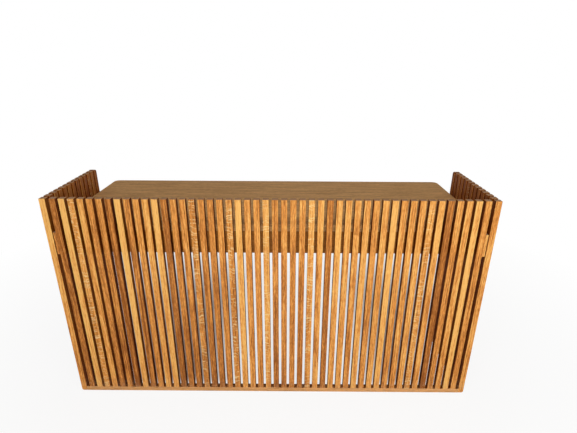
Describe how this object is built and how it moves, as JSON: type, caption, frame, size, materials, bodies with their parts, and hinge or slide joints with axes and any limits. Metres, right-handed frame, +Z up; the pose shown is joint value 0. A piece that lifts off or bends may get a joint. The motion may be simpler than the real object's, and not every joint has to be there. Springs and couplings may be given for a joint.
{
  "type": "reception desk",
  "caption": "Free-standing oak reception desk: a screen of upright square slats wraps the front and both ends, and stands above the worktop board behind it.",
  "frame": {"origin": "on the floor, at the centre of the footprint: midway across the width, and midway between the front of the slats and the rear edge of the worktop", "axes": "+Z up; +X across the width, to the right for a visitor who faces the front of the desk; -Y is the slatted front that faces the visitor and +Y is the side where the user sits"},
  "size_m": [1.6, 0.572, 0.85],
  "materials": {
    "oak_slat": "oiled oak, planed, with eased edges",
    "oak_rail": "oiled oak, planed",
    "oak_block": "oiled oak, planed",
    "oak_worktop": "oiled oak board, sanded",
    "oak_button": "bare oak, planed",
    "zinc_steel_screw": "zinc-plated steel"
  },
  "bodies": {
    "root": {"button_screws_front": "zinc_steel_screw", "button_screws_left": "zinc_steel_screw", "button_screws_right": "zinc_steel_screw", "corner_screws_left": "zinc_steel_screw", "corner_screws_right": "zinc_steel_screw", "corner_slat_left": "oak_slat", "corner_slat_right": "oak_slat", "end_block_left": "oak_block", "end_block_right": "oak_block", "front_bottom_rail": "oak_rail", "front_slats_01": "oak_slat", "front_slats_02": "oak_slat", "front_slats_03": "oak_slat", "front_slats_04": "oak_slat", "front_slats_05": "oak_slat", "front_slats_06": "oak_slat", "front_slats_07": "oak_slat", "front_slats_08": "oak_slat", "front_slats_09": "oak_slat", "front_slats_10": "oak_slat", "front_slats_11": "oak_slat", "front_slats_12": "oak_slat", "front_slats_13": "oak_slat", "front_slats_14": "oak_slat", "front_slats_15": "oak_slat", "front_slats_16": "oak_slat", "front_slats_17": "oak_slat", "front_slats_18": "oak_slat", "front_slats_19": "oak_slat", "front_slats_20": "oak_slat", "front_slats_21": "oak_slat", "front_slats_22": "oak_slat", "front_slats_23": "oak_slat", "front_slats_24": "oak_slat", "front_upper_rail": "oak_rail", "loose_tongues": "oak_button", "rear_slat_left": "oak_slat", "rear_slat_right": "oak_slat", "side_bottom_rail_left": "oak_rail", "side_bottom_rail_right": "oak_rail", "side_slats_left_1": "oak_slat", "side_slats_left_2": "oak_slat", "side_slats_left_3": "oak_slat", "side_slats_left_4": "oak_slat", "side_slats_left_5": "oak_slat", "side_slats_left_6": "oak_slat", "side_slats_right_1": "oak_slat", "side_slats_right_2": "oak_slat", "side_slats_right_3": "oak_slat", "side_slats_right_4": "oak_slat", "side_slats_right_5": "oak_slat", "side_slats_right_6": "oak_slat", "side_upper_rail_left": "oak_rail", "side_upper_rail_right": "oak_rail", "worktop": "oak_worktop", "worktop_buttons_front": "oak_button", "worktop_buttons_left": "oak_button", "worktop_buttons_right": "oak_button"}
  },
  "joints": []
}
